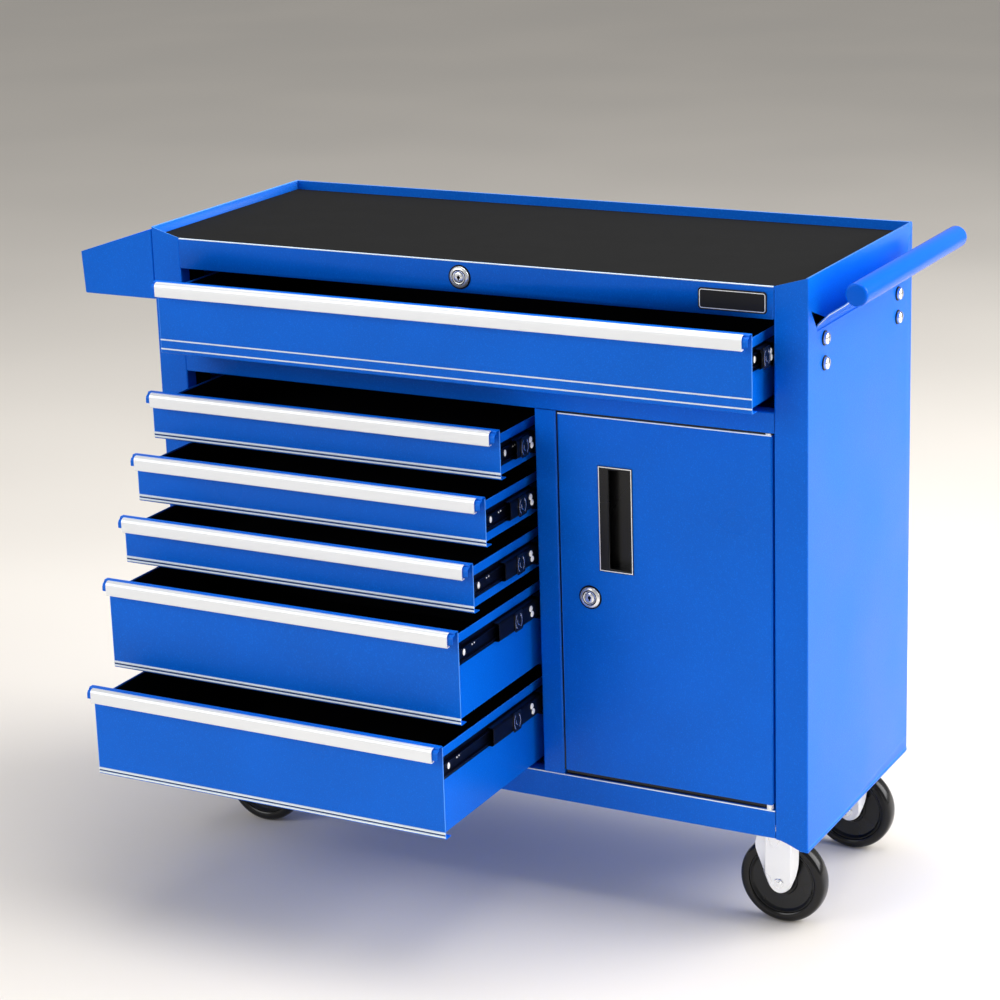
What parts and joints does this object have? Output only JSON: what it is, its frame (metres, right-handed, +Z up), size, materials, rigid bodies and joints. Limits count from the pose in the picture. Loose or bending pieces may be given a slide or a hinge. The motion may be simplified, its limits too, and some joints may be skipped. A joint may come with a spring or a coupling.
{
  "type": "tool cart",
  "caption": "Wheeled sheet-steel tool cart with stacked drawers on ball slides, a lockable side door, a rubber-topped work surface, a side bin and a push handle.",
  "frame": {"origin": "floor point under the centre of the bounding box with the drawers as stored, staggered open", "axes": "+Z up; the drawers and door face -Y; the push handle is on the +X side and the side bin on the -X side"},
  "size_m": [1.025, 0.581, 0.78],
  "materials": {
    "body_paint": "glossy powder coat",
    "pull_aluminium": "satin anodised",
    "slide_steel": "satin black",
    "mat": "matte",
    "black_plastic": "satin",
    "lock_chrome": "polished",
    "zinc": "bright zinc plate",
    "nylon": "satin",
    "tyre": "satin"
  },
  "bodies": {
    "cabinet": {"side_panel_left": "body_paint", "side_panel_right": "body_paint", "back_panel": "body_paint", "bottom_panel": "body_paint", "top_tray": "body_paint", "worktop_mat": "mat", "mid_rail": "body_paint", "bottom_rail": "body_paint", "centre_partition": "body_paint", "side_bin": "body_paint", "push_handle": "body_paint", "handle_bracket": "body_paint", "handle_bolts_front": "zinc", "handle_bolts_rear": "zinc", "name_plate": "black_plastic", "top_lock_housing": "lock_chrome", "door_hinge_lower": "nylon", "door_hinge_upper": "nylon", "slide_rack_left": "slide_steel", "slide_rack_centre": "slide_steel", "slide_rail_top_right": "slide_steel", "caster_plate_front": "zinc", "caster_plate_rear": "zinc", "caster_fork_front_right": "zinc", "caster_fork_rear_right": "zinc"},
    "drawer_body_1": {"drawer_1": "body_paint", "drawer_pull_1": "pull_aluminium"},
    "slide_body_1": {"slide_member_1_left": "slide_steel", "slide_member_1_right": "slide_steel"},
    "drawer_body_2": {"drawer_2": "body_paint", "drawer_pull_2": "pull_aluminium"},
    "slide_body_2": {"slide_member_2_left": "slide_steel", "slide_member_2_right": "slide_steel"},
    "drawer_body_3": {"drawer_3": "body_paint", "drawer_pull_3": "pull_aluminium"},
    "slide_body_3": {"slide_member_3_left": "slide_steel", "slide_member_3_right": "slide_steel"},
    "drawer_body_4": {"drawer_4": "body_paint", "drawer_pull_4": "pull_aluminium"},
    "slide_body_4": {"slide_member_4_left": "slide_steel", "slide_member_4_right": "slide_steel"},
    "drawer_body_5": {"drawer_5": "body_paint", "drawer_pull_5": "pull_aluminium"},
    "slide_body_5": {"slide_member_5_left": "slide_steel", "slide_member_5_right": "slide_steel"},
    "drawer_body_6": {"drawer_6": "body_paint", "drawer_pull_6": "pull_aluminium"},
    "slide_body_6": {"slide_member_6_left": "slide_steel", "slide_member_6_right": "slide_steel"},
    "door": {"door_panel": "body_paint", "door_pull": "black_plastic", "door_lock_housing": "lock_chrome"},
    "door_lock_cylinder": {"door_lock_plug": "lock_chrome"},
    "top_lock_cylinder": {"top_lock_plug": "lock_chrome"},
    "wheel_body_front_left": {"wheel_front_left": "tyre"},
    "wheel_body_front_right": {"wheel_front_right": "tyre"},
    "swivel_front_left": {"caster_fork_front_left": "zinc"},
    "wheel_body_rear_left": {"wheel_rear_left": "tyre"},
    "wheel_body_rear_right": {"wheel_rear_right": "tyre"},
    "swivel_rear_left": {"caster_fork_rear_left": "zinc"}
  },
  "joints": [
    {"name": "drawer_slide_1", "type": "slide", "parent": "cabinet", "child": "drawer_body_1", "axis": [0, -1, 0], "range_m": [-0.054, 0.236]},
    {"name": "member_slide_1", "type": "slide", "parent": "cabinet", "child": "slide_body_1", "axis": [0, -1, 0], "range_m": [-0.027, 0.118]},
    {"name": "drawer_slide_2", "type": "slide", "parent": "cabinet", "child": "drawer_body_2", "axis": [0, -1, 0], "range_m": [-0.079, 0.211]},
    {"name": "member_slide_2", "type": "slide", "parent": "cabinet", "child": "slide_body_2", "axis": [0, -1, 0], "range_m": [-0.0395, 0.1055]},
    {"name": "drawer_slide_3", "type": "slide", "parent": "cabinet", "child": "drawer_body_3", "axis": [0, -1, 0], "range_m": [-0.118, 0.172]},
    {"name": "member_slide_3", "type": "slide", "parent": "cabinet", "child": "slide_body_3", "axis": [0, -1, 0], "range_m": [-0.059, 0.086]},
    {"name": "drawer_slide_4", "type": "slide", "parent": "cabinet", "child": "drawer_body_4", "axis": [0, -1, 0], "range_m": [-0.151, 0.139]},
    {"name": "member_slide_4", "type": "slide", "parent": "cabinet", "child": "slide_body_4", "axis": [0, -1, 0], "range_m": [-0.0755, 0.0695]},
    {"name": "drawer_slide_5", "type": "slide", "parent": "cabinet", "child": "drawer_body_5", "axis": [0, -1, 0], "range_m": [-0.19, 0.1]},
    {"name": "member_slide_5", "type": "slide", "parent": "cabinet", "child": "slide_body_5", "axis": [0, -1, 0], "range_m": [-0.095, 0.05]},
    {"name": "drawer_slide_6", "type": "slide", "parent": "cabinet", "child": "drawer_body_6", "axis": [0, -1, 0], "range_m": [-0.234, 0.056]},
    {"name": "member_slide_6", "type": "slide", "parent": "cabinet", "child": "slide_body_6", "axis": [0, -1, 0], "range_m": [-0.117, 0.028]},
    {"name": "door_hinge", "type": "hinge", "parent": "cabinet", "child": "door", "pos_m": [0.3985, -0.0375, 0.3835], "axis": [0, 0, 1], "range_deg": [0, 110]},
    {"name": "door_lock_turn", "type": "hinge", "parent": "door", "child": "door_lock_cylinder", "pos_m": [0.1779, -0.0415, 0.385], "axis": [0, -1, 0], "range_deg": [0, 90]},
    {"name": "top_lock_turn", "type": "hinge", "parent": "cabinet", "child": "top_lock_cylinder", "pos_m": [0.0205, -0.0415, 0.7498], "axis": [0, -1, 0], "range_deg": [0, 90]},
    {"name": "swivel_front_left_turn", "type": "hinge", "parent": "cabinet", "child": "swivel_front_left", "pos_m": [-0.3545, 0.0125, 0.1317], "axis": [0, 0, 1], "continuous": true},
    {"name": "wheel_front_left_spin", "type": "hinge", "parent": "swivel_front_left", "child": "wheel_body_front_left", "pos_m": [-0.3195, 0.0125, 0.0525], "axis": [0, 1, 0], "continuous": true},
    {"name": "wheel_front_right_spin", "type": "hinge", "parent": "cabinet", "child": "wheel_body_front_right", "pos_m": [0.3955, 0.0125, 0.0525], "axis": [0, 1, 0], "continuous": true},
    {"name": "swivel_rear_left_turn", "type": "hinge", "parent": "cabinet", "child": "swivel_rear_left", "pos_m": [-0.3545, 0.2365, 0.1317], "axis": [0, 0, 1], "continuous": true},
    {"name": "wheel_rear_left_spin", "type": "hinge", "parent": "swivel_rear_left", "child": "wheel_body_rear_left", "pos_m": [-0.3195, 0.2365, 0.0525], "axis": [0, 1, 0], "continuous": true},
    {"name": "wheel_rear_right_spin", "type": "hinge", "parent": "cabinet", "child": "wheel_body_rear_right", "pos_m": [0.3955, 0.2365, 0.0525], "axis": [0, 1, 0], "continuous": true}
  ],
  "couplings": [
    {"joint": "member_slide_1", "follows": "drawer_slide_1", "ratio": 0.5},
    {"joint": "member_slide_2", "follows": "drawer_slide_2", "ratio": 0.5},
    {"joint": "member_slide_3", "follows": "drawer_slide_3", "ratio": 0.5},
    {"joint": "member_slide_4", "follows": "drawer_slide_4", "ratio": 0.5},
    {"joint": "member_slide_5", "follows": "drawer_slide_5", "ratio": 0.5},
    {"joint": "member_slide_6", "follows": "drawer_slide_6", "ratio": 0.5}
  ]
}
